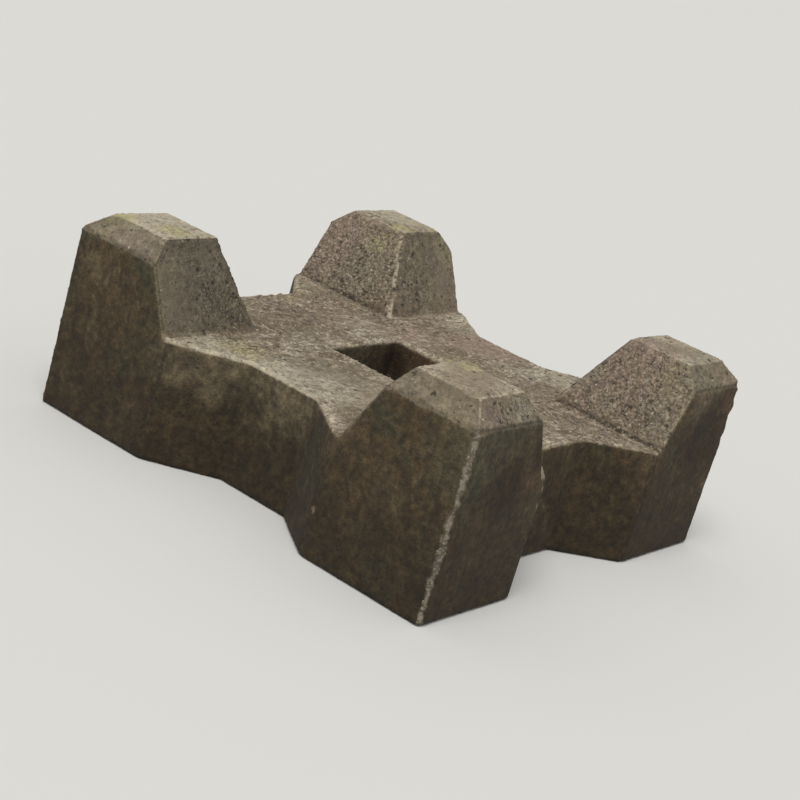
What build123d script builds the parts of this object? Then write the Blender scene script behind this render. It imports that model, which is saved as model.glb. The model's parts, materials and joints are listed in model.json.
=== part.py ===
from build123d import *

import os

# Hollow square armour unit: one casting of plain concrete, laid in a single layer on a sea slope.
# It is a square plate with a square hole through its middle, a splayed notch in each side and a post
# on each corner. Rows of these units butt together, so two facing notches make one deep well.
# Lengths are in millimetres. The origin is at the middle of the underside and +Z points out of the
# slope. The four sides face +X, +Y, -X and -Y, and each quarter turn brings the unit back to itself.

# Plate
side = 1600.0  # from one joint face to the opposite one
plate_thickness = 400.0  # underside to the top face between the posts

# Hole through the middle of the plate
hole_side = 360.0

# Notch through the plate in the middle of each side
notch_depth = 165.0  # joint face to the flat back of the notch
notch_splay = 205.0  # how far each slanted end runs along the side
notch_shoulder = 20.0  # flat strip between the foot of a post and the notch's mouth

# Corner posts, measured from the joint faces and from the plate's top face
post_height = 270.0
post_foot = 440.0  # the inner faces meet the plate this far in from the joint face
post_crown = 300.0  # the inner faces meet the flat top this far in
post_chamfer = 70.0  # the outer faces lean back at 45 degrees over this much height

# The mould rounds every outward corner above the underside, which is its open, trowelled face
arris_radius = 12.0

half_side = side / 2
ridge_height = post_height - post_chamfer
mouth_half = half_side - post_foot - notch_shoulder
back_half = mouth_half - notch_splay
quarter_turns = [Rot(0, 0, turn) for turn in (0, 90, 180, 270)]


def plate():
    """The plate: its plan, extruded from the underside to the top face."""
    notch = make_face(
        Polyline(
            (half_side, mouth_half),
            (half_side - notch_depth, back_half),
            (half_side - notch_depth, -back_half),
            (half_side, -mouth_half),
            close=True,
        )
    )
    plan = Rectangle(side, side) - Rectangle(hole_side, hole_side)
    return extrude(plan - [turn * notch for turn in quarter_turns], plate_thickness)


def ribs():
    """Two ribs on the plate, along the sides that face +X and -X, with the section of a post."""
    section = make_face(
        Plane.XZ
        * Polyline(
            (half_side, 0),
            (half_side, ridge_height),
            (half_side - post_chamfer, post_height),
            (half_side - post_crown, post_height),
            (half_side - post_foot, 0),
            close=True,
        )
    )
    rib = Pos(0, 0, plate_thickness) * extrude(section, half_side, both=True)
    return rib + mirror(rib, Plane.YZ)


def posts():
    """The four posts: what the ribs of one direction share with those of the other."""
    return ribs() & (Rot(0, 0, 90) * ribs())


def rounded(block):
    """The block with its outward corners rounded, apart from those of the underside."""
    arrises = block.edges().filter_by(lambda edge: not edge.is_interior and edge.center().Z > 0)
    return fillet(arrises, arris_radius)


armour_block = rounded(plate() + posts())

os.makedirs("parts", exist_ok=True)
export_step(armour_block, "parts/armour_block.step")
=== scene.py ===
import json
import math
import random
from functools import partial
import bmesh
import bpy
import numpy as np
from mathutils import Matrix, Vector, noise

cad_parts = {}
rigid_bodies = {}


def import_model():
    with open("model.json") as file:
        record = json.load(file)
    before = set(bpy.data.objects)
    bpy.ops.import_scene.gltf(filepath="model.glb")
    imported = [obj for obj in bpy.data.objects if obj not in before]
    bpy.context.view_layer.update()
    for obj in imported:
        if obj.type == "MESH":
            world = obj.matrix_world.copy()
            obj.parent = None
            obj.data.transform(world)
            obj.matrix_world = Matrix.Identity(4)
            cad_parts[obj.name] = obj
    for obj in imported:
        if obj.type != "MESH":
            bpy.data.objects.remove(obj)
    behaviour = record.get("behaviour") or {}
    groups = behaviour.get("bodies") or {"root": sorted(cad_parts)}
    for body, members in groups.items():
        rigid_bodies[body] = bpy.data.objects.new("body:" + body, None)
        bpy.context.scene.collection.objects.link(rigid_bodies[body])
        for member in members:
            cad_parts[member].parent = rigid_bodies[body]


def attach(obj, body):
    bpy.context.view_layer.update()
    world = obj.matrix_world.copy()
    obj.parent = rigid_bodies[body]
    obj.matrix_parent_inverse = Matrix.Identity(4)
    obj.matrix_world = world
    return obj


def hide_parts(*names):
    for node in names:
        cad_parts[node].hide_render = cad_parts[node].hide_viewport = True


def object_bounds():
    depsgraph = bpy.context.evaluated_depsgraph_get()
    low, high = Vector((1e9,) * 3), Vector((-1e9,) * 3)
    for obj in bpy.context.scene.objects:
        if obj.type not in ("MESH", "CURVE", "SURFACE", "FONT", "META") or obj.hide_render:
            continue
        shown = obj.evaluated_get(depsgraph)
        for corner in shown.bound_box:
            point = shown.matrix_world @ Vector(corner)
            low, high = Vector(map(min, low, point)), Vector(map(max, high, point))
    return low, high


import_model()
cadLow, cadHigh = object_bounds()
print("stage: CAD frame loaded")


# Small helpers

def deselectAll():
    if bpy.context.object and bpy.context.object.mode != "OBJECT":
        bpy.ops.object.mode_set(mode="OBJECT")
    bpy.ops.object.select_all(action="DESELECT")


def makeActive(piece):
    deselectAll()
    piece.select_set(True)
    bpy.context.view_layer.objects.active = piece


def modify(piece, kind, **settings):
    # adds a modifier and applies it
    modifier = piece.modifiers.new(kind.lower(), kind)
    for name, value in settings.items():
        setattr(modifier, name, value)
    makeActive(piece)
    bpy.ops.object.modifier_apply(modifier=modifier.name)


def selectOnly(piece, kind, test):
    # in edit mode: selects the vertices, edges or faces whose middle passes the test
    bpy.ops.mesh.select_mode(type=kind)
    bpy.ops.mesh.select_all(action="DESELECT")
    bpy.ops.object.mode_set(mode="OBJECT")
    mesh = piece.data
    places = [v.co for v in mesh.vertices]
    parts = {"VERT": mesh.vertices, "EDGE": mesh.edges, "FACE": mesh.polygons}[kind]
    for part in parts:
        corners = [part.index] if kind == "VERT" else part.vertices
        part.select = test(sum((places[i] for i in corners), Vector()) / len(corners))
    bpy.ops.object.mode_set(mode="EDIT")


def linear(hexColour):
    # sRGB hex to the linear colour that the shader wants
    values = [int(hexColour[i:i + 2], 16) / 255 for i in (1, 3, 5)]
    return [v / 12.92 if v <= 0.04045 else ((v + 0.055) / 1.055) ** 2.4 for v in values] + [1.0]


# the setting that says what a node of each kind does
modes = {
    "Math": "operation",
    "VectorMath": "operation",
    "MixRGB": "blend_type",
    "MapRange": "interpolation_type",
}


def addNode(tree, kind, feeds=(), stops=(), **settings):
    # one node: its kind, a shader node's without its first words and followed by its mode, what goes into its
    # sockets by name or in their order (a value, a hex colour or what feeds it), a ramp's stops, its settings
    kind, *mode = kind.split()
    node = tree.nodes.new(kind if "Node" in kind else "ShaderNode" + kind)
    if mode:
        settings[modes[kind]] = mode[0]
    for name, value in settings.items():
        setattr(node, name, value)
    for name, feed in (feeds.items() if isinstance(feeds, dict) else enumerate(feeds)):
        if isinstance(feed, bpy.types.Node):
            feed = feed.outputs[0]
        if isinstance(feed, bpy.types.NodeSocket):
            tree.links.new(feed, node.inputs[name])
        else:
            node.inputs[name].default_value = linear(feed) if str(feed).startswith("#") else feed
    for number, (place, colour) in enumerate(stops):
        points = node.color_ramp.elements
        point = points[number] if number < 2 else points.new(place)
        point.position = place
        point.color = linear(colour)
    return node


def newMaterial(name, roughness):
    # a material, its shader and what adds a node to it
    material = bpy.data.materials.new(name)
    material.use_nodes = True
    shader = material.node_tree.nodes["Principled BSDF"]
    shader.inputs["Roughness"].default_value = roughness
    return material, shader, partial(addNode, material.node_tree)


def perMetre(millimetres):
    # the scale of a pattern whose features are this wide
    return 1000.0 / millimetres


# Camera: the photograph's own viewpoint, turned to the block and closer in

camera = {
    "eye": (-4.951, -3.183, 2.144),
    "aim": (0.02, 0.0, 0.27),
    "up": (-0.024, 0.322, 0.946),  # the slope leans the block to the right in the picture
    "lens": 84.0,
}


def addCamera():
    forward = (Vector(camera["aim"]) - Vector(camera["eye"])).normalized()
    right = forward.cross(Vector(camera["up"])).normalized()
    up = right.cross(forward)
    bpy.ops.object.camera_add(location=camera["eye"])
    cam = bpy.context.object
    cam.name = "photoCamera"
    cam.data.lens = camera["lens"]
    cam.matrix_world = Matrix.Translation(camera["eye"]) @ Matrix((right, up, -forward)).transposed().to_4x4()
    bpy.context.scene.camera = cam


# Stage: a pale floor and a soft overcast light, brighter from the open sea's side

stage = {
    "floorSize": 400.0,
    "floorColour": "#d6d4cf",
    "backColour": "#dcdad6",
    "skyColour": "#ffffff",
    "skyStrength": 0.50,
    "sunDirection": (0.42, 0.16, -0.89),  # the way the light travels
    "sunStrength": 2.0,
    "sunSpread": 35.0,
}


def addStage():
    bpy.context.scene.view_settings.view_transform = "Standard"
    bpy.ops.mesh.primitive_plane_add(size=stage["floorSize"], location=(0, 0, 0))
    floor = bpy.context.object
    floor.name = "studioFloor"
    paint, shader = newMaterial("mattFloor", 0.9)[:2]
    shader.inputs["Base Color"].default_value = linear(stage["floorColour"])
    floor.data.materials.append(paint)

    sky = bpy.data.worlds.new("overcastSky")
    bpy.context.scene.world = sky
    sky.use_nodes = True
    tree = sky.node_tree
    add = partial(addNode, tree)
    light = tree.nodes["Background"]
    light.inputs["Color"].default_value = linear(stage["skyColour"])
    light.inputs["Strength"].default_value = stage["skyStrength"]
    back = add("Background", {"Color": stage["backColour"], "Strength": 1})
    path = add("LightPath")
    mix = add("MixShader", [path.outputs["Is Camera Ray"], light, back])
    tree.links.new(mix.outputs[0], tree.nodes["World Output"].inputs["Surface"])

    bpy.ops.object.light_add(type="SUN", location=(0, 0, 5))
    sun = bpy.context.object
    sun.name = "softSun"
    sun.data.energy = stage["sunStrength"]
    sun.data.angle = math.radians(stage["sunSpread"])
    sun.rotation_euler = Vector(stage["sunDirection"]).to_track_quat("-Z", "Y").to_euler()


# The cast block: its clean form first, in metres, with the same sizes as the CAD part

block = {
    "side": cadHigh.x - cadLow.x,
    "plate": 0.400,
    "hole": 0.360,
    "notchDepth": 0.165,
    "notchMouth": 0.680,
    "notchBack": 0.270,
    "postHeight": cadHigh.z - 0.400,
    "postFoot": 0.440,
    "postCrown": 0.300,
    "postChamfer": 0.070,
    "arris": 0.007,
    "arrisAngle": 20,  # degrees that two faces turn at an arris, at least
}


def axisStep(axis, length):
    return [length if number == axis else 0 for number in range(3)]


def cutAcross(axis, places):
    # in edit mode: scores the whole mesh at each place along an axis
    for place in places:
        bpy.ops.mesh.select_all(action="SELECT")
        bpy.ops.mesh.bisect(plane_co=axisStep(axis, place), plane_no=axisStep(axis, 1), threshold=1e-5)


def modelCleanBlock():
    half = block["side"] / 2
    top = block["plate"] + block["postHeight"]
    foot = half - block["postFoot"]
    tiny = 1e-4
    bpy.ops.mesh.primitive_cube_add(size=1, location=(0, 0, block["plate"] / 2),
                                    scale=(block["side"], block["side"], block["plate"]))
    piece = bpy.context.object
    piece.name = "castBlock"
    makeActive(piece)
    bpy.ops.object.transform_apply(location=True, rotation=True, scale=True)
    bpy.ops.object.mode_set(mode="EDIT")

    # posts: the four corners of the plate's top, drawn up
    for axis in (0, 1):
        cutAcross(axis, (-foot, foot))
    selectOnly(piece, "FACE", lambda m: min(abs(m.x), abs(m.y)) > foot and m.z > block["plate"] - tiny)
    bpy.ops.mesh.extrude_region_move(TRANSFORM_OT_translate={"value": (0, 0, block["postHeight"])})

    # battered inner faces: the inner edges of each crown move outwards
    for axis in (0, 1):
        for sign in (-1, 1):
            selectOnly(piece, "VERT", lambda m: m.z > top - tiny and abs(m[axis] - sign * foot) < tiny)
            step = sign * (block["postFoot"] - block["postCrown"])
            bpy.ops.transform.translate(value=axisStep(axis, step))

    # 45 degree facets along the outer edges of each crown
    selectOnly(piece, "EDGE", lambda m: m.z > top - tiny and max(abs(m.x), abs(m.y)) > half - tiny)
    bpy.ops.mesh.bevel(offset=block["postChamfer"], offset_type="OFFSET", segments=1)

    # splayed notches: the middle strip of each side is pushed in
    mouth, back = block["notchMouth"] / 2, block["notchBack"] / 2
    for axis in (0, 1):
        cutAcross(axis, (-mouth, -back, back, mouth))
    for axis in (0, 1):
        for sign in (-1, 1):
            selectOnly(piece, "VERT",
                       lambda m: abs(m[axis] - sign * half) < tiny and abs(m[1 - axis]) < back + tiny)
            bpy.ops.transform.translate(value=axisStep(axis, -sign * block["notchDepth"]))

    # square hole: the middle of the plate is opened and its rims are bridged
    rim = block["hole"] / 2
    for axis in (0, 1):
        cutAcross(axis, (-rim, rim))
    selectOnly(piece, "FACE", lambda m: max(abs(m.x), abs(m.y)) < rim)
    bpy.ops.mesh.delete(type="FACE")
    selectOnly(piece, "EDGE", lambda m: abs(max(abs(m.x), abs(m.y)) - rim) < tiny)
    bpy.ops.mesh.bridge_edge_loops()
    bpy.ops.mesh.select_all(action="SELECT")
    bpy.ops.mesh.normals_make_consistent(inside=False)
    bpy.ops.object.mode_set(mode="OBJECT")
    return piece


def inOrder(point):
    # what points are sorted by, whatever their last digits say
    return [round(v, 4) for v in point]


def settleOrder(piece):
    # Blender orders these corners and faces anew each run, and what follows would drift with it
    mesh = piece.data
    order = sorted(mesh.vertices, key=lambda corner: inOrder(corner.co))
    rank = {corner.index: number for number, corner in enumerate(order)}
    faces = []
    for face in mesh.polygons:
        ring = [rank[corner] for corner in face.vertices]
        start = ring.index(min(ring))
        faces.append(ring[start:] + ring[:start])
    places = [corner.co.copy() for corner in order]
    mesh.clear_geometry()
    mesh.from_pydata(places, [], sorted(faces))


# Chips: bites that years of knocks took out of the arrises

chips = {
    "seed": 11,
    "perMetre": 2.6,
    "radius": (0.010, 0.030),
    "depth": (0.12, 0.40),      # how far a bite reaches in, as a share of its radius
    "stretch": (1.0, 2.6),      # how much longer it is along the arris
    "lumps": 0.38,              # how uneven it is, as a share of its radius
    "namedDepth": 0.55,
    # the bites that the photograph shows: place, outward direction, direction of the arris, radius, stretch
    "named": [
        ((0.395, 0.395, 0.470), (-1, -1, 0.4), (1, 1, 2), 0.026, 1.8),
        ((-0.780, -0.800, 0.600), (0, -1, 0.6), (1, 0, 0), 0.012, 1.4),
        ((0.800, -0.800, 0.565), (1, -1, 0.5), (0, 0, 1), 0.040, 1.8),
        ((0.800, -0.800, 0.480), (1, -1, 0), (0, 0, 1), 0.034, 1.4),
        ((0.800, -0.800, 0.410), (1, -1, 0), (0, 0, 1), 0.028, 1.7),
        ((-0.340, -0.800, 0.400), (1, -1, 0.6), (0, 0, 1), 0.024, 2.2),
        ((-0.340, -0.800, 0.330), (1, -1, 0), (0, 0, 1), 0.020, 1.8),
    ],
    # where the photograph shows an arris whole: place and radius
    "spared": [
        ((-0.480, -0.800, 0.600), 0.16), ((0.500, 0.500, 0.670), 0.10), ((-0.500, 0.500, 0.670), 0.10),
    ],
}


def readArrises(piece):
    # every outward-turning edge of the clean form and the direction that points out of it, in a fixed order
    mesh = bmesh.new()
    mesh.from_mesh(piece.data)
    found = []
    for edge in mesh.edges:
        if edge.is_convex and edge.calc_face_angle() > math.radians(block["arrisAngle"]):
            start, end = sorted((corner.co.copy() for corner in edge.verts), key=inOrder)
            outward = sum((face.normal for face in edge.link_faces), Vector()).normalized()
            found.append((start, end, outward))
    mesh.free()
    found.sort(key=lambda arris: inOrder(arris[0]) + inOrder(arris[1]))

    # those that run on in one line are one arris
    arrises = []
    for start, end, outward in found:
        along = (end - start).normalized()
        for number, (first, last, side) in enumerate(arrises):
            if (last - start).length < 1e-3 and (last - first).normalized().dot(along) > 0.9999:
                arrises[number] = (first, end, side)
                break
        else:
            arrises.append((start, end, outward))
    return arrises


def addChip(place, outward, along, radius, depth, stretch):
    outward, along = Vector(outward).normalized(), Vector(along).normalized()
    across = outward.cross(along).normalized()
    bpy.ops.mesh.primitive_ico_sphere_add(subdivisions=3, radius=radius)
    bite = bpy.context.object
    turn = Matrix((along, across, along.cross(across))).transposed().to_4x4()
    bite.matrix_world = (Matrix.Translation(Vector(place) + outward * (radius - depth)) @ turn
                         @ Matrix.Diagonal((stretch, 1, 1, 1)))
    makeActive(bite)
    bpy.ops.object.transform_apply(location=True, rotation=True, scale=True)
    modify(bite, "DISPLACE", texture=addTexture("biteLumps", "CLOUDS", radius * 0.7),
           texture_coords="GLOBAL", strength=radius * chips["lumps"] * 2)
    return bite


def chipArrises(piece, arrises):
    draw = random.Random(chips["seed"])
    bites = []
    for start, end, outward in arrises:
        length = (end - start).length
        for number in range(int(length * chips["perMetre"] + draw.random())):
            radius = draw.uniform(*chips["radius"]) * draw.uniform(0.6, 1.0)
            place = start.lerp(end, draw.random())
            depth = radius * draw.uniform(*chips["depth"])
            stretch = draw.uniform(*chips["stretch"])
            if all((place - Vector(spot)).length > reach for spot, reach in chips["spared"]):
                bites.append((place, outward, end - start, radius, depth, stretch))
    for place, outward, along, radius, stretch in chips["named"]:
        bites.append((place, outward, along, radius, radius * chips["namedDepth"], stretch))
    for bite in bites:
        cutter = addChip(*bite)
        modify(piece, "BOOLEAN", operation="DIFFERENCE", solver="MANIFOLD", object=cutter)
        bpy.data.objects.remove(cutter)
    print("stage: chips cut,", len(bites))


# Weathering: the clean form is remeshed finely, then worn, pitted and roughened

weather = {
    "voxel": 0.0046,
    "triangles": 192000,
    "hollowDepth": 0.0008,   # a point this far below its surroundings counts as a full hollow
    "crownHollow": 0.55,     # rain keeps the crowns clean, so their hollows hold less
    "crownRipple": 0.45,     # the crowns were trowelled flatter than the plate
    "bandReach": 0.045,      # how far from its arris a band is looked for
    "bandWidth": (0.004, 0.021),  # its least width and what wear adds to it
    "innerWear": 0.08,       # how far the other upright arrises are worn
    # how far the upright corner arrises are worn, by the signs of x and y
    "cornerWear": {(False, False): 0.60, (False, True): 0.35, (True, False): 0.10, (True, True): 0.30},
    "farShade": 0.66,        # the far post stands freer of its neighbours, so its shaded face gets less painted shade
}


# where the surface is rougher or smoother than elsewhere: x, y, z and radius in metres
regions = {
    "rough": [
        (0.41, -0.6, 0.47, 0.15), (0.25, -0.62, 0.4, 0.2), (-0.45, 0.37, 0.45, 0.11),
        (-0.56, 0.4, 0.5, 0.09), (0.4, 0.5, 0.47, 0.16), (0.5, 0.41, 0.53, 0.12), (-0.6, -0.77, 0.64, 0.12),
        (-0.3, 0.16, 0.4, 0.13), (-0.46, 0.22, 0.4, 0.1), (-0.24, 0.39, 0.4, 0.13), (0.3, 0.42, 0.4, 0.14),
        (0.24, -0.3, 0.4, 0.14), (0.06, 0.62, 0.4, 0.17), (0.44, 0.56, 0.48, 0.14),
        (0.42, -0.56, 0.45, 0.16), (-0.54, -0.775, 0.62, 0.1), (-0.44, 0.39, 0.42, 0.1),
        (-0.05, 0.54, 0.4, 0.14), (0.12, 0.46, 0.4, 0.14), (0.44, -0.66, 0.42, 0.12),
        (0.42, -0.04, 0.4, 0.1),
    ],
    "smooth": [
        (-0.65, -0.65, 0.67, 0.19), (-0.65, 0.65, 0.67, 0.16), (0.65, -0.65, 0.67, 0.14),
        (0.65, 0.65, 0.67, 0.14), (-0.59, 0.08, 0.4, 0.13), (-0.74, 0.42, 0.5, 0.14), (0.73, 0.4, 0.5, 0.12),
        (0.14, 0.4, 0.4, 0.1), (0.56, 0.06, 0.4, 0.14), (-0.66, 0.3, 0.4, 0.08), (0.6, -0.26, 0.4, 0.1),
        (-0.44, 0.0, 0.4, 0.14), (-0.42, -0.2, 0.4, 0.14),
    ],
    "rest": 0.62,
    "drift": 0.25,
    "driftSize": 0.16,
}


def addTexture(name, kind, size, **settings):
    texture = bpy.data.textures.new(name, kind)
    texture.noise_scale = size
    for key, value in settings.items():
        setattr(texture, key, value)
    return texture


def readPlaces(piece):
    flat = np.empty(len(piece.data.vertices) * 3)
    piece.data.vertices.foreach_get("co", flat)
    return flat.reshape(-1, 3)


def setGroup(piece, name, weights, levels=40):
    # a vertex group from an array, written in steps because that is quick
    group = piece.vertex_groups.get(name) or piece.vertex_groups.new(name=name)
    steps = np.clip(np.rint(np.asarray(weights) * levels), 0, levels).astype(int)
    for step in range(1, levels + 1):
        members = np.nonzero(steps == step)[0]
        if len(members):
            group.add(members.tolist(), step / levels, "REPLACE")


def ramp(values, low, high):
    share = np.clip((values - low) / (high - low), 0, 1)
    return share * share * (3 - 2 * share)


def soften(piece, factor):
    # the places and normals of a softened copy: the normals turn gently over an arris
    makeActive(piece)
    bpy.ops.object.duplicate()
    copy = bpy.context.object
    modify(copy, "SMOOTH", factor=factor, iterations=5)
    places = readPlaces(copy)
    normals = np.empty(places.size)
    copy.data.vertex_normals.foreach_get("vector", normals)
    bpy.data.objects.remove(copy)
    return places, normals.reshape(-1, 3)


def distanceTo(places, edges):
    # from each place to the nearest of the straight edges or arrises
    nearest = np.full(len(places), 10.0)
    for start, end, *rest in edges:
        start, run = np.array(start), np.array(end) - np.array(start)
        share = np.clip((places - start) @ run / (run @ run), 0, 1)
        nearest = np.minimum(nearest, np.linalg.norm(places - start - share[:, None] * run, axis=1))
    return nearest


def noiseAt(places, size, shift=0.0):
    # a soft random field between -1 and 1, whose lumps are about this many metres wide
    return np.array([noise.noise(Vector(place) / size + Vector((shift, shift, shift))) for place in places])


def nearSpots(places, spots):
    # 1 at the nearest spot's middle, fading out past its radius
    amount = np.zeros(len(places))
    for *place, radius in spots:
        far = np.linalg.norm(places - np.array(place), axis=1) / radius
        amount = np.maximum(amount, np.exp(-far * far))
    return amount


def roughnessAt(places):
    drift = regions["drift"] * noiseAt(places, regions["driftSize"], 3.0)
    spots = 0.45 * nearSpots(places, regions["rough"]) - 0.45 * nearSpots(places, regions["smooth"])
    return np.clip(regions["rest"] + drift + spots, 0.08, 1)


def wornBands(places, arrises):
    # the broken band along each upright outer arris: wide and rough in places, missing in others
    band = np.zeros(len(places))
    for start, end, outward in arrises:
        upright = abs((end - start).normalized().z) > 0.9
        if not upright:
            continue
        corner = min(abs(start.x), abs(start.y)) > block["side"] / 2 - 0.02
        rim = distanceTo(places, [(start, end)])
        near = np.nonzero(rim < weather["bandReach"])[0]
        share = weather["cornerWear"][(start.x > 0, start.y > 0)] if corner else weather["innerWear"]
        spread = share * (1 + noiseAt(places[near], 0.11) + noiseAt(places[near], 0.024, 7.0))
        least, added = weather["bandWidth"]
        width = least + added * np.clip(spread, 0, 1)
        inside = 1 - ramp(rim[near], width * 0.55, width)
        band[near] = np.maximum(band[near], inside * ramp(spread, 0.05, 0.3))
    return band


def maskBlock(piece, arrises):
    # where the block is worn, scoured or shaded, from its form: kept as vertex groups
    places, normals = readPlaces(piece), soften(piece, 1.0)[1]
    rim = distanceTo(places, arrises)
    inwardX, inwardY = (-normals[:, axis] * np.sign(places[:, axis]) for axis in (0, 1))
    facesX, facesY, up = np.abs(normals[:, 0]), np.abs(normals[:, 1]), normals[:, 2]
    reach = np.maximum(np.abs(places[:, 0]), np.abs(places[:, 1]))
    outer = ramp(reach, 0.786, 0.797) * (1 - ramp(up, 0.1, 0.35))
    post = ramp(places[:, 2], block["plate"] - 0.004, block["plate"] + 0.016) * (1 - outer)
    facet = post * (ramp(up, 0.58, 0.68) * (1 - ramp(up, 0.76, 0.9)))
    innerX, innerY = post * ramp(inwardX, 0.35, 0.7), post * ramp(inwardY, 0.45, 0.75)
    facetX, facetY = facet * ramp(facesX, 0.4, 0.6), facet * ramp(facesY, 0.4, 0.6)
    # lips: the outer bevel faces of the crowns, which get painted shade as well
    outward = np.maximum(ramp(-inwardY, 0.5, 0.7), 0.7 * ramp(-inwardX, 0.5, 0.7))
    shadedLip = post * (1 - ramp(up, 0.58, 0.68)) * outward
    innerY = innerY * np.where((places[:, 0] > 0) & (places[:, 1] > 0), weather["farShade"], 1.0)
    top, flat = ramp(up, 0.7, 0.95), ramp(up, 0.8, 0.96)
    onPlate = places[:, 2] < block["plate"] + 0.05
    band = wornBands(places, arrises)
    rough = roughnessAt(places)
    scoured = np.maximum.reduce([innerX, 0.12 * innerY, 0.40 * facetY, 0.26 * top])
    awayFromRim = 1 - 0.9 * (1 - ramp(rim, 0.002, 0.014)) * (band < 0.3)
    calmRim = 0.35 + 0.65 * ramp(rim, 0.004, 0.022)
    gravel = np.maximum.reduce([0.34 * innerX, 0.55 * innerY, facetY]) * (0.25 + rough)
    groups = {
        "rough": rough,
        "scoured": np.maximum(scoured * (0.45 + 0.75 * rough) * calmRim, 0.5 * band),
        "gravel": np.maximum(gravel, 0.9 * band) * awayFromRim,
        "topGravel": top * (0.15 + 0.95 * rough) * awayFromRim,
        "topFace": flat,
        "plateTop": flat * onPlate,
        "rippled": flat * np.where(onPlate, 0.45 + 0.6 * rough, weather["crownRipple"]),
        "wall": 1 - ramp(np.maximum(up, post * 0.4), 0.1, 0.35),
        # shaded: where painted shade darkens the faces turned from the light, the chamfers and the lips
        "shaded": np.maximum.reduce([innerY, 0.5 * facetY, 0.54 * facetX, shadedLip]),
        "arris": 1 - ramp(rim, 0.003, 0.018),
        "band": band,
    }
    for name, weights in groups.items():
        setGroup(piece, name, weights)


# what wears the faces, in this order: texture, width of its lumps, strength, level that stays, where
wears = {
    "heave": ("CLOUDS", 0.28, 0.005, 0.5, "", {}),  # slow unevenness of the cast faces
    "arrisWear": ("CLOUDS", 0.040, -0.006, 0.0, "arris", {"noise_depth": 3}),  # most that an arris loses
    "bandWear": ("CLOUDS", 0.016, -0.006, 0.0, "band", {}),
    "nibble": ("VORONOI", 0.016, -0.0040, 0.25, "arris", {}),  # small broken teeth
    "ripple": ("CLOUDS", 0.024, 0.0090, 0.5, "rippled", {"noise_depth": 3}),
    "lump": ("CLOUDS", 0.05, 0.006, 0.5, "scoured", {"noise_depth": 2}),
    "grit": ("VORONOI", 0.012, -0.0050, 0.4, "scoured", {}),
}


def roundArrises(piece):
    modify(piece, "BEVEL", width=block["arris"], segments=2, limit_method="ANGLE",
           angle_limit=math.radians(block["arrisAngle"]))


def remeshBlock(piece):
    modify(piece, "REMESH", mode="VOXEL", voxel_size=weather["voxel"])
    print("stage: remeshed,", len(piece.data.polygons), "faces")


def wearBlock(piece):
    for name, (kind, size, strength, level, group, settings) in wears.items():
        modify(piece, "DISPLACE", texture=addTexture(name, kind, size, **settings), texture_coords="LOCAL",
               strength=strength, mid_level=level, vertex_group=group)


def markHollows(piece, arrises):
    # how deep each point lies below its surroundings: silt stays there, and the high points are rubbed
    places, (softened, normals) = readPlaces(piece), soften(piece, 0.8)
    depth = ((softened - places) * normals).sum(axis=1)
    depth = depth * ramp(distanceTo(places, arrises), 0.010, 0.022)
    depth = depth * np.where(places[:, 2] > block["plate"] + 0.24, weather["crownHollow"], 1.0)
    setGroup(piece, "hollow", np.clip(0.5 + depth / weather["hollowDepth"] / 2, 0.026, 1))


def thinBlock(piece):
    triangles = sum(len(face.vertices) - 2 for face in piece.data.polygons)
    modify(piece, "DECIMATE", decimate_type="COLLAPSE", ratio=weather["triangles"] / triangles,
           use_collapse_triangulate=True)


def keepInBox(piece, inset=0.0):
    # nothing stands proud of the CAD part's own box
    places = np.clip(readPlaces(piece), np.array(cadLow) + inset, np.array(cadHigh) - inset)
    piece.data.vertices.foreach_set("co", places.ravel())
    piece.data.update()


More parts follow.
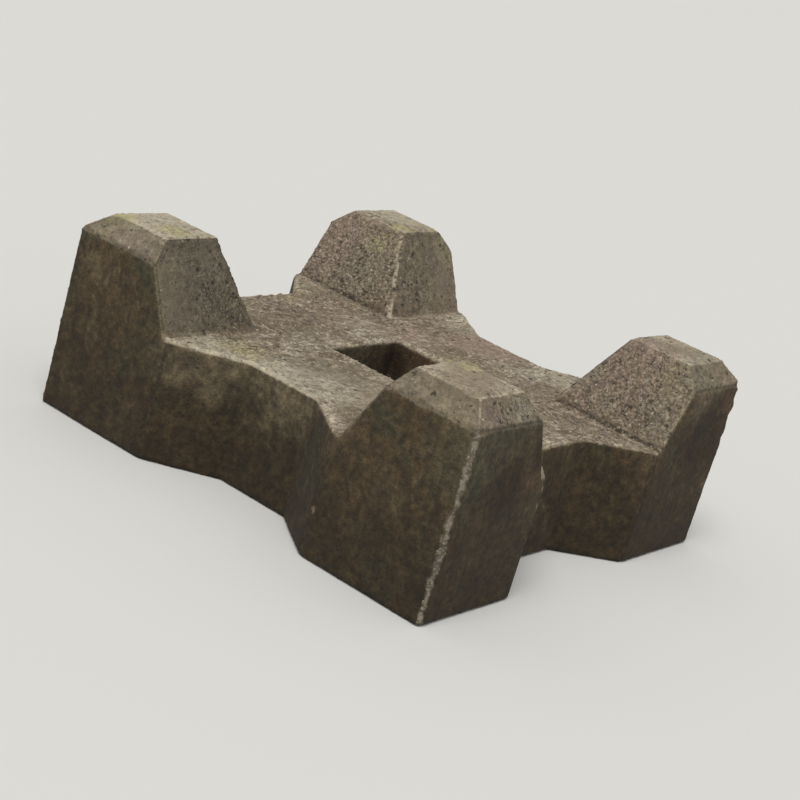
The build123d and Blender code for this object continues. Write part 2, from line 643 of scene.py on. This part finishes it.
# soft spots of colour, which the material breaks up: x, y, z and radius in metres
tints = {
    "mauveTint": [
        (0.48, -0.5, 0.64, 0.12), (0.45, -0.48, 0.57, 0.12), (0.44, 0.74, 0.54, 0.1),
        (0.39, 0.78, 0.44, 0.08), (0.41, -0.64, 0.49, 0.07), (0.28, 0.28, 0.4, 0.16),
        (0.5, -0.6, 0.66, 0.07), (0.43, 0.4, 0.54, 0.05), (0.05, 0.48, 0.4, 0.2), (0.56, 0.06, 0.4, 0.16),
        (0.3, -0.48, 0.4, 0.14), (-0.7, -0.78, 0.62, 0.06),
    ],
    "greenTint": [
        (0.43, -0.43, 0.52, 0.06), (0.4, -0.72, 0.48, 0.07), (0.42, 0.54, 0.5, 0.11),
        (0.38, 0.6, 0.43, 0.08), (-0.4, 0.06, 0.4, 0.16), (-0.26, 0.34, 0.4, 0.1), (0.66, -0.69, 0.63, 0.07),
        (-0.54, -0.78, 0.62, 0.07), (0.54, -0.78, 0.62, 0.08), (0.26, 0.34, 0.4, 0.07),
        (0.385, -0.54, 0.44, 0.05), (0.44, -0.4, 0.56, 0.04),
    ],
    "lichenTint": [
        (-0.56, 0.23, 0.4, 0.07), (0.08, 0.7, 0.4, 0.12), (0.54, 0.54, 0.655, 0.04),
        (0.76, 0.48, 0.62, 0.08), (0.47, 0.56, 0.6, 0.04), (-0.64, 0.56, 0.67, 0.05),
        (0.24, -0.06, 0.4, 0.06), (0.61, 0.7, 0.6, 0.05), (-0.72, 0.72, 0.64, 0.06),
        (-0.54, -0.56, 0.665, 0.035),
    ],
    "siltTint": [
        (-0.32, 0.36, 0.4, 0.12), (-0.12, 0.35, 0.4, 0.14), (0.29, -0.64, 0.4, 0.1), (0.34, 0.42, 0.4, 0.06),
        (-0.46, 0.33, 0.4, 0.05), (0.12, 0.7, 0.4, 0.08), (0.25, -0.5, 0.4, 0.08),
    ],
    # darker brown spots: stain, and painted shadow on the plate near the posts' feet
    "duskTint": [
        (-0.25, 0.42, 0.4, 0.1), (0.0, 0.42, 0.4, 0.09), (0.24, 0.5, 0.4, 0.09), (0.28, -0.76, 0.4, 0.05),
        (0.48, 0.3, 0.4, 0.09), (0.12, 0.56, 0.4, 0.13), (0.31, 0.02, 0.4, 0.08), (0.16, -0.56, 0.4, 0.1),
        (-0.28, 0.02, 0.4, 0.08), (-0.57, -0.59, 0.67, 0.07), (-0.69, -0.66, 0.67, 0.09),
        (0.6, -0.62, 0.67, 0.05), (0.6, 0.6, 0.67, 0.1),
    ],
    "bleachTint": [
        (-0.62, 0.08, 0.4, 0.14), (-0.65, 0.29, 0.4, 0.1), (-0.54, -0.08, 0.4, 0.11),
        (0.31, -0.64, 0.4, 0.07), (-0.33, 0.23, 0.4, 0.1), (0.08, 0.27, 0.4, 0.08), (-0.12, 0.26, 0.4, 0.05),
        (0.6, -0.22, 0.4, 0.11), (0.64, 0.28, 0.4, 0.1), (0.18, 0.72, 0.4, 0.09), (0.46, -0.15, 0.4, 0.08),
        (-0.61, 0.62, 0.67, 0.15), (0.64, 0.64, 0.67, 0.09), (-0.56, -0.775, 0.622, 0.045),
    ],
    "rubTint": [
        (0.375, 0.375, 0.43, 0.07), (0.412, 0.412, 0.5, 0.08), (0.464, 0.464, 0.6, 0.07),
        (0.39, -0.39, 0.46, 0.04),
    ],
    "wallPaleTint": [
        (-0.635, -0.02, 0.37, 0.14), (0.56, -0.8, 0.56, 0.08), (-0.02, 0.18, 0.33, 0.06),
        (-0.7, 0.215, 0.35, 0.12), (-0.76, 0.29, 0.33, 0.08),
    ],
    # warmer, paler brown on the walls: stain, and painted light on the hole's wall that faces the light
    "wallWarmTint": [
        (0.18, 0.04, 0.34, 0.15), (0.18, -0.08, 0.36, 0.12), (0.7, -0.8, 0.5, 0.08),
        (-0.42, -0.8, 0.43, 0.07),
    ],
    "wallGreenTint": [
        (-0.7, -0.8, 0.5, 0.16), (-0.08, 0.18, 0.33, 0.15), (-0.36, -0.66, 0.3, 0.16),
    ],
    "wallDarkTint": [
        (-0.4, -0.8, 0.5, 0.07), (-0.56, -0.8, 0.4, 0.1), (0.64, -0.8, 0.42, 0.14), (0.18, 0.18, 0.33, 0.06),
    ],
}


def addAttribute(piece, name, values):
    layer = piece.data.attributes.new(name, "FLOAT", "POINT")
    layer.data.foreach_set("value", np.asarray(values, dtype=np.float32))


def maskAttributes(piece, arrises):
    # the shader reads attributes: the vertex groups, and how far each point is from an arris and a foot
    mesh = piece.data
    names = [group.name for group in piece.vertex_groups]
    masks = {name: np.zeros(len(mesh.vertices)) for name in names}
    for vertex in mesh.vertices:
        for member in vertex.groups:
            masks[names[member.group]][vertex.index] = member.weight
    piece.vertex_groups.clear()
    for name, values in masks.items():
        addAttribute(piece, name, values)
    places = readPlaces(piece)
    addAttribute(piece, "rimDistance", distanceTo(places, arrises))
    half, level = block["side"] / 2, block["plate"]
    foot = half - block["postFoot"]
    quarter = np.abs(places) * (1, 1, 0) + places * (0, 0, 1)
    feet = [((foot, foot, level), (half, foot, level)), ((foot, foot, level), (foot, half, level))]
    addAttribute(piece, "footDistance", distanceTo(quarter, feet))
    alongX, alongY = distanceTo(quarter, feet[:1]), distanceTo(quarter, feet[1:])
    # the dark line at the feet is drawn by this distance: silt and painted shade in the crease
    addAttribute(piece, "footSiltAndShadeLine", np.minimum(alongX * 1.5 + 0.007, alongY))
    for name, spots in tints.items():
        addAttribute(piece, name, nearSpots(places, spots) * (1 - 0.45 * masks["shaded"]))


# Exposed stones: the crushed aggregate that stands out of the scoured faces

# lengths in metres; density in stones a square metre; sunk is the share of its size that a stone lies deep,
# where its mask is 0 and where it is 1; rings makes its form rounder; kinds is how many forms are drawn
stones = {
    "coarse": {"seed": 5, "mask": "scoured", "spacing": 0.0125, "density": 9500.0, "size": (0.0045, 0.0115),
               "sunk": (0.72, 0.50), "rings": 1, "kinds": 5},
    "small": {"seed": 9, "mask": "gravel", "spacing": 0.0088, "density": 16000.0, "size": (0.0030, 0.0062),
              "sunk": (0.70, 0.45), "rings": 0, "kinds": 4},
    "plate": {"seed": 14, "mask": "topGravel", "spacing": 0.0110, "density": 9000.0, "size": (0.0032, 0.0086),
              "sunk": (0.60, 0.28), "rings": 0, "kinds": 4},
}


def modelPebble(kind, seed):
    # a crushed stone: an uneven many-sided lump a unit across
    if kind["rings"]:
        bpy.ops.mesh.primitive_cube_add(size=1.3)
    else:
        bpy.ops.mesh.primitive_ico_sphere_add(subdivisions=1, radius=1.0)
    pebble = bpy.context.object
    makeActive(pebble)
    bpy.ops.object.mode_set(mode="EDIT")
    bpy.ops.mesh.select_all(action="SELECT")
    if kind["rings"]:
        bpy.ops.mesh.subdivide(number_cuts=1, smoothness=0.8)
    bpy.ops.transform.vertex_random(offset=0.28, seed=seed)
    bpy.ops.transform.resize(value=(1.0, 0.85, 0.65))
    bpy.ops.object.mode_set(mode="OBJECT")
    return pebble


def scatterTree(kind, pebbles):
    # geometry nodes: points where the face is scoured, a random pebble on each, sunk in and made real
    tree = bpy.data.node_groups.new("stoneScatter", "GeometryNodeTree")
    add = partial(addNode, tree)
    for way in ("INPUT", "OUTPUT"):
        tree.interface.new_socket("Geometry", in_out=way, socket_type="NodeSocketGeometry")
    source = add("NodeGroupInput")
    mask = add("GeometryNodeInputNamedAttribute", {"Name": kind["mask"]}, data_type="FLOAT")
    where = add("GeometryNodeInputPosition")
    clump = add("TexNoise", {"Vector": where, "Scale": perMetre(60), "Detail": 2})
    clumpShare = add("MapRange", [clump, 0.35, 0.6, 0.4, 1])
    chance = add("Math MULTIPLY", [mask, clumpShare])
    points = add("GeometryNodeDistributePointsOnFaces", distribute_method="POISSON", feeds={
        "Mesh": source, "Distance Min": kind["spacing"], "Density Max": kind["density"],
        "Density Factor": chance, "Seed": kind["seed"]})
    draw = add("FunctionNodeRandomValue", {"Seed": kind["seed"] + 1}, data_type="FLOAT")
    bias = add("Math POWER", [draw.outputs[1], 2.2])
    size = add("MapRange", [bias, 0, 1, *kind["size"]])
    sunkShare = add("MapRange", [mask, 0, 1, -kind["sunk"][0], -kind["sunk"][1]])
    depth = add("Math MULTIPLY", [size, sunkShare])
    sink = add("VectorMath SCALE", {0: points.outputs["Normal"], "Scale": depth})
    tint = add("FunctionNodeRandomValue", {"Seed": kind["seed"] + 2}, data_type="FLOAT")
    named = add("GeometryNodeStoreNamedAttribute", data_type="FLOAT", domain="POINT", feeds={
        "Geometry": points, "Name": "stoneTint", "Value": tint.outputs[1]})
    sunk = add("GeometryNodeSetPosition", {"Geometry": named, "Offset": sink})
    spin = add("FunctionNodeRandomValue", data_type="FLOAT_VECTOR", feeds={
        0: (0, 0, 0), 1: (6.283, 6.283, 6.283), "Seed": kind["seed"] + 3})
    bag = add("GeometryNodeCollectionInfo", {
        "Collection": pebbles, "Separate Children": True, "Reset Children": True})
    placed = add("GeometryNodeInstanceOnPoints", {
        "Points": sunk, "Instance": bag, "Pick Instance": True, "Rotation": spin, "Scale": size})
    real = add("GeometryNodeRealizeInstances", [placed])
    add("NodeGroupOutput", [real])
    return tree


def scatterStones(name, kind, base):
    bag = bpy.data.collections.new(name + "Kinds")
    bpy.context.scene.collection.children.link(bag)
    for number in range(kind["kinds"]):
        bag.objects.link(modelPebble(kind, kind["seed"] + number))
    makeActive(base)
    bpy.ops.object.duplicate()
    piece = bpy.context.object
    piece.name = name
    piece.data.materials.clear()
    modify(piece, "NODES", node_group=scatterTree(kind, bag))
    for pebble in list(bag.objects):
        bpy.data.objects.remove(pebble)
    bpy.data.collections.remove(bag)
    keepInBox(piece, 0.0004)
    makeActive(piece)
    bpy.ops.object.shade_smooth()
    print("stage: stones scattered,", name, len(piece.data.polygons), "faces")
    return piece


# Material: plain cast concrete after years on a sea wall

concrete = {
    "tan": "#928369",
    "palePatch": "#aa9d85",
    "rimPale": "#b6aa94",
    # pit: dirt and painted shade in the holes
    "pit": "#3d3426",
    # glint: pale grains and painted highlights
    "glint": "#c4b8a2",
    "silt": "#64543f",
    "speck": "#5a4d3d",
    # footSiltAndShadeLine: silt and painted shade in the crease at the posts' feet
    "footSiltAndShadeLine": "#2b241a",
    # wallDeep: darker towards the ground, partly damp and partly painted shade
    "wallDeep": "#2b200d",
    # wallRunAndShadow: rain runs on the walls, and the painted shadow line along their arrises
    "wallRunAndShadow": "#2a241a",
    # blowhole: painted shade inside the holes
    "blowholeShade": "#1f1a12",
    "shadeRidge": "#8b9189",
    "wornBand": "#655e50",
    "wornEdge": "#8e8575",
    "rubbedEdge": "#b7ab93",
    # cavity: dirt and painted shade in the pits
    "cavityDirtAndShade": "#4e4437",
    # soft spots: their tint, colour and share, on the faces and on the walls
    "spots": (
        # the darker brown spots hold painted shadow near the posts' feet
        ("mauveTint", "#917b70", 0.68), ("greenTint", "#7d7866", 0.60), ("duskTint", "#75664f", 0.50),
        ("bleachTint", "#b1a892", 0.70), ("lichenTint", "#aaa176", 0.75),
    ),
    "wallSpots": (
        ("wallGreenTint", "#4c4935", 0.70), ("wallPaleTint", "#6e624b", 0.90),
        # the warm wall spots hold painted light on the hole's wall that faces the light
        ("wallWarmTint", "#5f4a33", 0.80), ("wallDarkTint", "#2f220f", 0.85),
    ),
    # noises: width in millimetres, detail, roughness and distortion
    "noises": {
        "slow": (330, 5, 0.60, 0.4), "patch": (75, 7, 0.66, 0.8), "bloom": (48, 8, 0.70, 0),
        "mottle": (42, 5, 0.74, 0.5), "crumbs": (27, 5, 0.62, 0.3), "grain": (20, 5, 0.66, 0),
        "specks": (24, 4, 0.66, 0), "sway": (110, 3, 0.50, 0), "warp": (16, 2, 0.50, 0),
        "film": (95, 7, 0.60, 0), "blotch": (190, 8, 0.62, 0.6),
    },
    # stones that lie flat in the paste: width in millimetres, reach, where they show and how many do
    "flatStones": ((19, 0.36, "scoured", 0.60), (11, 0.34, "scoured", 0.60), (8, 0.38, "rough", 0.34)),
    # washed-out holes, dark with dirt and painted shade, and pale grains with painted highlights: width in
    # millimetres, colour, reach, how many show and their relief
    "marks": (
        (23, "pit", 0.40, 0.62, -0.0030), (15, "glint", 0.32, 0.30, 0.0012), (13, "pit", 0.34, 0.40, -0.0018),
    ),
    "rippleWidth": 0.042,
    # ramps: the paste, what the painted shade of a shaded face leaves of the colour under it, the walls and
    # the stones
    "paste": ((0.38, "#8e7e6c"), (0.50, "#928369"), (0.62, "#8a8067")),
    # film: the painted shade of the shaded faces, with a grey-olive tint
    "film": ((0.30, "#b2b7b8"), (0.50, "#bbc0c4"), (0.70, "#c5cacb")),
    # the wall colours are darkened partly with painted shade from the neighbouring blocks
    "wall": ((0.38, "#45402b"), (0.51, "#4b3c26"), (0.66, "#5a4d36")),
    "stones": (
        (0.00, "#584d41"), (0.16, "#74665a"), (0.32, "#837764"), (0.46, "#696254"), (0.60, "#8a7e6f"),
        (0.74, "#77675a"), (0.86, "#61574c"), (0.95, "#978b7a"), (1.00, "#b5ab98"),
    ),
}


def addSpots(add, colour, masks, spots, bloom, full):
    # soft spots laid over a colour and broken at their edges, each whole where mask and bloom reach full
    for name, tint, strength in spots:
        broken = add("Math ADD", [masks[name], bloom])
        share = add("MapRange", [broken, 0.62, full, 0, strength])
        colour = add("MixRGB", [share, colour, tint])
    return colour


def concreteMaterial():
    # cement paste with sand and crushed stone, cast in a steel mould: matt, fine-grained and mottled
    # where it is smooth, pitted and speckled where waves have scoured it, olive where it stays damp
    material, shader, add = newMaterial("weatheredCastConcrete", 0.92)
    place = add("TexCoord").outputs["Object"]
    names = ("scoured", "rough", "topFace", "plateTop", "wall", "shaded", "band", "hollow",
             "rimDistance", "footDistance", "footSiltAndShadeLine", *tints)
    masks = {name: add("Attribute", attribute_name=name).outputs["Fac"] for name in names}
    noises = {}
    for name, (width, detail, rough, bend) in concrete["noises"].items():
        noises[name] = add("TexNoise", {"Vector": place, "Scale": perMetre(width), "Detail": detail,
                                        "Roughness": rough, "Distortion": bend})
    patch, bloom, film, speckNoise = (noises[name] for name in ("patch", "bloom", "film", "specks"))

    # paste: slow drifts of hue, patches a hand wide, then grains of sand
    paste = add("ValToRGB", [noises["slow"]], stops=concrete["paste"])
    patchEdge = add("MapRange", [patch, 0.52, 0.68, 0, 0.5])
    rimSway = add("Math MULTIPLY_ADD", [patch, 0.1, masks["rimDistance"]])
    nearRim = add("MapRange SMOOTHSTEP", [rimSway, 0.07, 0.108, 0.85, 0])
    rimFace = add("Math ADD", [masks["topFace"], masks["plateTop"]])
    rimShare = add("Math MULTIPLY", [rimFace, 0.5])
    rimTop = add("Math MULTIPLY", [nearRim, rimShare])
    height = add("SeparateXYZ", [place]).outputs[2]
    crown = add("MapRange", [height, 0.6, 0.65, 0, 0.75])
    crownTop = add("Math MULTIPLY", [crown, masks["topFace"]])
    pale = add("Math MAXIMUM", [patchEdge, crownTop])
    patched = add("MixRGB", [pale, paste, concrete["palePatch"]])
    surface = add("MixRGB", [rimTop, patched, concrete["rimPale"]])

    # soft spots of mauve, green, brown with painted shadow near the posts' feet, bleached paste and lichen
    surface = addSpots(add, surface, masks, concrete["spots"], bloom, 1.05)
    evened = add("Math MULTIPLY", [masks["shaded"], 0.55])
    surface = add("MixRGB", [evened, surface, concrete["tan"]])

    # mottle: what faces the sky is darker and paler in patches a few fingers wide
    mottleTone = add("MapRange", [noises["mottle"], 0.32, 0.68, 0.52, 1.38])
    mottleTop = add("MapRange", [masks["plateTop"], 0, 1, 0.42, 1])
    mottleRough = add("MapRange", [masks["rough"], 0, 1, 0.3, 1])
    mottleShare = add("Math MULTIPLY", [mottleTop, mottleRough])
    surface = add("MixRGB MULTIPLY", [mottleShare, surface, mottleTone])

    crumbTone = add("MapRange", [noises["crumbs"], 0.38, 0.6, 0.7, 1.2])
    crownCalm = add("Math SUBTRACT", [masks["topFace"], masks["plateTop"]])
    crumbShare = add("Math MULTIPLY_ADD", [crownCalm, -0.25, mottleRough], use_clamp=True)
    surface = add("MixRGB MULTIPLY", [crumbShare, surface, crumbTone])

    # sand in the paste: its real grains, 1 to 4 mm, are too fine to show, so they are drawn 5.5 mm wide
    sand = add("TexVoronoi", {"Vector": place, "Scale": perMetre(5.5)})
    sandTone = add("MapRange", [sand.outputs["Color"], 0, 1, 0.84, 1.12])
    grainTone = add("MapRange", [noises["grain"], 0.33, 0.67, 0.64, 1.26])
    fine = add("Math MULTIPLY", [sandTone, grainTone])
    fineShare = add("MapRange", [masks["rough"], 0.1, 0.6, 0.45, 1])
    surface = add("MixRGB MULTIPLY", [fineShare, surface, fine])

    # curls of silt that the last tide left on the plate, and painted highlights between them
    drawn = add("Mapping", {"Vector": place, "Scale": (0.5, 1.0, 1.0)})
    curls = add("TexNoise", {"Vector": drawn, "Scale": perMetre(36), "Detail": 2.5, "Roughness": 0.55,
                             "Distortion": 1.2})
    curlRough = add("Math MULTIPLY", [masks["rough"], 1.25], use_clamp=True)
    curlTop = add("Math MULTIPLY", [curlRough, masks["plateTop"]])
    for none, full, colour, strength in ((0.46, 0.38, "silt", 0.95), (0.56, 0.64, "glint", 0.65)):
        curl = add("MapRange", [curls, none, full, 0, strength])
        curlAmount = add("Math MULTIPLY", [curl, curlTop])
        surface = add("MixRGB", [curlAmount, surface, concrete[colour]])

    # silt in specks, in the hollows of the relief and in ripples that follow the feet of the posts
    speckDrift = add("Math MULTIPLY_ADD", [masks["siltTint"], 0.16, speckNoise])
    speckShape = add("MapRange", [speckDrift, 0.56, 0.66])
    speck = add("Math MULTIPLY", [speckShape, mottleRough])
    sunken = add("MapRange", [masks["hollow"], 0.52, 0.95, 0, 0.85])
    siltAmount = add("Math MAXIMUM", [speck, sunken])
    surface = add("MixRGB", [siltAmount, surface, concrete["speck"]])
    raised = add("MapRange", [masks["hollow"], 0.46, 0.1, 0, 0.3])
    surface = add("MixRGB", [raised, surface, concrete["palePatch"]])
    phase = add("Math MULTIPLY_ADD", [noises["sway"], 0.14, masks["footDistance"]])
    turns = add("Math MULTIPLY", [phase, 2 * math.pi / concrete["rippleWidth"]])
    sine = add("Math SINE", [turns])
    wave = add("MapRange SMOOTHSTEP", [sine, 0.25, 0.95])
    waveFade = add("MapRange SMOOTHSTEP", [masks["footDistance"], 0.26, 0.05])
    waveTop = add("Math MULTIPLY", [waveFade, masks["plateTop"]])
    waveBreak = add("MapRange", [patch, 0.4, 0.58])
    waveShown = add("Math MULTIPLY", [waveTop, waveBreak])
    waveSpot = add("MapRange", [masks["siltTint"], 0, 0.8, 0.22, 0.85])
    waveAmount = add("Math MULTIPLY", [waveShown, waveSpot])
    ripple = add("Math MULTIPLY", [wave, waveAmount], use_clamp=True)
    surface = add("MixRGB", [ripple, surface, concrete["silt"]])
    # pale crests of the ripples: painted highlight
    crest = add("MapRange SMOOTHSTEP", [sine, -0.45, -0.95, 0, 0.55])
    crestAmount = add("Math MULTIPLY", [crest, waveAmount], use_clamp=True)
    surface = add("MixRGB", [crestAmount, surface, concrete["glint"]])

    # flat stones that show in the paste, coarse and small ones, each of its own colour
    warp = noises["warp"].outputs["Color"]
    bent = add("VectorMath MULTIPLY_ADD", [warp, (0.010, 0.010, 0.010), place])
    heights = []
    for width, reach, mask, share in concrete["flatStones"]:
        cells = add("TexVoronoi", {"Vector": bent, "Scale": perMetre(width)})
        pick = add("SeparateColor", [cells.outputs["Color"]])
        tone = add("ValToRGB", [pick], stops=concrete["stones"])
        shape = add("MapRange SMOOTHSTEP", [cells.outputs["Distance"], reach + 0.10, reach - 0.03])
        chance = add("Math MULTIPLY_ADD", [masks[mask], share, 0.03])
        shown = add("Math LESS_THAN", [pick.outputs[1], chance])
        amount = add("Math MULTIPLY", [shape, shown])
        thinned = add("Math MULTIPLY", [amount, 0.7])
        surface = add("MixRGB", [thinned, surface, tone])
        heights.append((amount, width * 0.00014))

    # pits of the scoured faces, dark with dirt and painted shade
    gap = add("MapRange", [speckNoise, 0.44, 0.37, 0, 0.75])
    roughShare = add("Math MULTIPLY", [masks["rough"], 0.75])
    pitted = add("Math MAXIMUM", [roughShare, masks["scoured"]])
    gapAmount = add("Math MULTIPLY", [gap, pitted])
    surface = add("MixRGB", [gapAmount, surface, concrete["cavityDirtAndShade"]])

    # small holes that waves washed out, nearly black with dirt and painted shade, and pale grains with
    # painted highlights beside them, thickest where it is rough
    twist = add("VectorMath MULTIPLY_ADD", [warp, (0.022, 0.022, 0.022), place])
    for width, colour, reach, share, depth in concrete["marks"]:
        cells = add("TexVoronoi", {"Vector": twist, "Scale": perMetre(width)})
        pick = add("SeparateColor", [cells.outputs["Color"]])
        limit = add("Math MULTIPLY", [pick, reach])
        inside = add("Math SUBTRACT", [limit, cells.outputs["Distance"]])
        shape = add("MapRange", [inside, -0.02, 0.06, 0, 0.8])
        chance = add("Math MULTIPLY", [masks["rough"], share])
        shown = add("Math LESS_THAN", [pick.outputs[1], chance])
        amount = add("Math MULTIPLY", [shape, shown])
        surface = add("MixRGB", [amount, surface, concrete[colour]])
        heights.append((amount, depth))

    # shaded faces: painted shade with a grey-olive tint, darker in blotches, below the crown and along the
    # arrises, a little lighter where the face is smooth
    paintedShadeTone = add("ValToRGB", [film], stops=concrete["film"])
    below = add("Math MULTIPLY_ADD", [bloom, 0.05, height])
    belowCrown = add("MapRange SMOOTHSTEP", [below, 0.64, 0.675, 0, 0.55])
    ridge = add("MapRange SMOOTHSTEP", [masks["rimDistance"], 0.014, 0.008])
    deeperShadeShare = add("Math MAXIMUM", [belowCrown, ridge])
    paintedShadeWithRidge = add("MixRGB", [deeperShadeShare, paintedShadeTone, concrete["shadeRidge"]])
    shadeByRoughness = add("MapRange", [masks["rough"], 0.15, 0.65, 0.9, 1])
    paintedShadeAmount = add("Math MULTIPLY", [shadeByRoughness, masks["shaded"]])
    surface = add("MixRGB MULTIPLY", [paintedShadeAmount, surface, paintedShadeWithRidge])
    bare = add("Math MULTIPLY_ADD", [masks["rubTint"], 3.2, 1])
    notShaded = add("Math MULTIPLY_ADD", [masks["shaded"], -1.8, bare], use_clamp=True)

    # walls that stand against the next block: smooth, damp, brown and green, darkened partly with painted
    # shade from the neighbouring blocks, and darker still towards the ground, partly damp and partly painted
    # shade
    wall = add("ValToRGB", [noises["blotch"]], stops=concrete["wall"])
    wall = addSpots(add, wall, masks, concrete["wallSpots"], bloom, 1.2)
    depthShift = add("Math MULTIPLY_ADD", [film, 0.7, height])
    deep = add("MapRange SMOOTHSTEP", [depthShift, 0.92, 0.36, 0, 0.75])
    wall = add("MixRGB", [deep, wall, concrete["wallDeep"]])
    stretched = add("Mapping", {"Vector": place, "Scale": (1.0, 1.0, 0.30)})
    runs = add("TexNoise", {"Vector": stretched, "Scale": perMetre(60), "Detail": 6, "Roughness": 0.62})
    runShape = add("MapRange SMOOTHSTEP", [runs, 0.54, 0.72, 0, 0.6])
    wall = add("MixRGB", [runShape, wall, concrete["wallRunAndShadow"]])
    # a dark line along the walls' arrises: painted shadow, broken
    shadedLip = add("MapRange SMOOTHSTEP", [masks["rimDistance"], 0.012, 0.004, 0, 0.7])
    lipBreak = add("MapRange", [patch, 0.36, 0.56, 0.2, 1])
    lipAmount = add("Math MULTIPLY", [shadedLip, lipBreak])
    wall = add("MixRGB", [lipAmount, wall, concrete["wallRunAndShadow"]])
    grime = add("Math MULTIPLY", [fine, mottleTone])
    grimeTone = add("Math POWER", [grime, 1.4])
    grimed = add("MixRGB MULTIPLY", [0.9, wall, grimeTone])
    # blowholes in the walls, painted near black: painted shade inside the holes
    holes = add("TexVoronoi", {"Vector": bent, "Scale": perMetre(26)})
    holePick = add("SeparateColor", [holes.outputs["Color"]])
    holeSize = add("MapRange", [holePick, 0.55, 1, 0, 0.15])
    holeShape = add("Math LESS_THAN", [holes.outputs["Distance"], holeSize])
    holed = add("MixRGB", [holeShape, grimed, concrete["blowholeShade"]])
    surface = add("MixRGB", [masks["wall"], surface, holed])

    # silt caught at the feet, with painted shade where the posts meet the plate: a thin dark line and a soft
    # brown stain, both broken
    stainShape = add("MapRange SMOOTHSTEP", [masks["footDistance"], 0.045, 0])
    stainBreak = add("MapRange", [film, 0.42, 0.6, 0, 0.75])
    stain = add("Math MULTIPLY", [stainShape, stainBreak])
    surface = add("MixRGB", [stain, surface, concrete["silt"]])
    lineShape = add("MapRange SMOOTHSTEP", [masks["footSiltAndShadeLine"], 0.019, 0.006])
    lineBreak = add("MapRange", [noises["crumbs"], 0.42, 0.57, 0.06, 0.85])
    line = add("Math MULTIPLY", [lineShape, lineBreak])
    surface = add("MixRGB", [line, surface, concrete["footSiltAndShadeLine"]])

    # worn arrises: rubbed pale and thin on the upper ones, a broken band on the upright ones
    rimWide = add("Math MULTIPLY_ADD", [masks["rubTint"], -0.0065, masks["rimDistance"]])
    rimShape = add("MapRange SMOOTHSTEP", [rimWide, 0.01, 0.004])
    notWall = add("Math SUBTRACT", [1, masks["wall"]])
    rub = add("MapRange", [speckNoise, 0.42, 0.56, 0, 0.85])
    rubbed = add("Math MULTIPLY", [rub, rimShape])
    rubbedUpper = add("Math MULTIPLY", [rubbed, notWall])
    rubbedLit = add("Math MULTIPLY", [rubbedUpper, notShaded])
    bandBase = add("Math MULTIPLY", [masks["band"], 0.85])
    bandRub = add("MapRange", [noises["grain"], 0.49, 0.57, 0, 0.85])
    bandSpecks = add("Math MULTIPLY", [bandRub, masks["band"]])
    for amount, colour in ((bandBase, "wornBand"), (bandSpecks, "wornEdge"), (rubbedLit, "rubbedEdge")):
        surface = add("MixRGB", [amount, surface, concrete[colour]])

    # relief too fine for the mesh: sand, stones, ripples and pinholes, in metres
    relief = add("Math MULTIPLY", [noises["grain"], 0.0022])
    heights += [(ripple, 0.0020), (sand.outputs["Distance"], -0.0012), (gapAmount, -0.0015),
                (holeShape, -0.0025)]
    for source, depth in heights:
        relief = add("Math MULTIPLY_ADD", [source, depth, relief])
    bump = add("Bump", {"Strength": 1, "Distance": 1, "Height": relief})
    links = material.node_tree.links
    links.new(surface.outputs[0], shader.inputs["Base Color"])
    links.new(bump.outputs[0], shader.inputs["Normal"])
    return material


def stoneMaterial():
    # crushed stone: matt, each piece of its own dull colour, with a film of cement and dirt
    material, shader, add = newMaterial("exposedAggregate", 0.85)
    place = add("TexCoord").outputs["Object"]
    tint = add("Attribute", attribute_name="stoneTint").outputs["Fac"]
    tone = add("ValToRGB", [tint], stops=concrete["stones"])
    film = add("TexNoise", {"Vector": place, "Scale": perMetre(9), "Detail": 3, "Roughness": 0.7})
    filmShape = add("MapRange", [film, 0.36, 0.6, 0.2, 0.75])
    colour = add("MixRGB", [filmShape, tone, concrete["tan"]])
    material.node_tree.links.new(colour.outputs[0], shader.inputs["Base Color"])
    return material


def cover(piece, material):
    piece.data.materials.clear()
    piece.data.materials.append(material)
    piece.data.polygons.foreach_set("material_index", [0] * len(piece.data.polygons))


addCamera()
addStage()
castBlock = modelCleanBlock()
settleOrder(castBlock)
arrises = readArrises(castBlock)
print("stage: clean block modelled,", len(arrises), "arrises")
roundArrises(castBlock)
chipArrises(castBlock, arrises)
remeshBlock(castBlock)
maskBlock(castBlock, arrises)
wearBlock(castBlock)
markHollows(castBlock, arrises)
thinBlock(castBlock)
keepInBox(castBlock)
maskAttributes(castBlock, arrises)
makeActive(castBlock)
bpy.ops.object.shade_smooth()
print("stage: block weathered,", len(castBlock.data.polygons), "triangles")

cover(castBlock, concreteMaterial())
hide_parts("armour_block")
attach(castBlock, "root")

stoneFinish = stoneMaterial()
for name in stones:
    piece = scatterStones(name + "Stones", stones[name], castBlock)
    cover(piece, stoneFinish)
    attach(piece, "root")
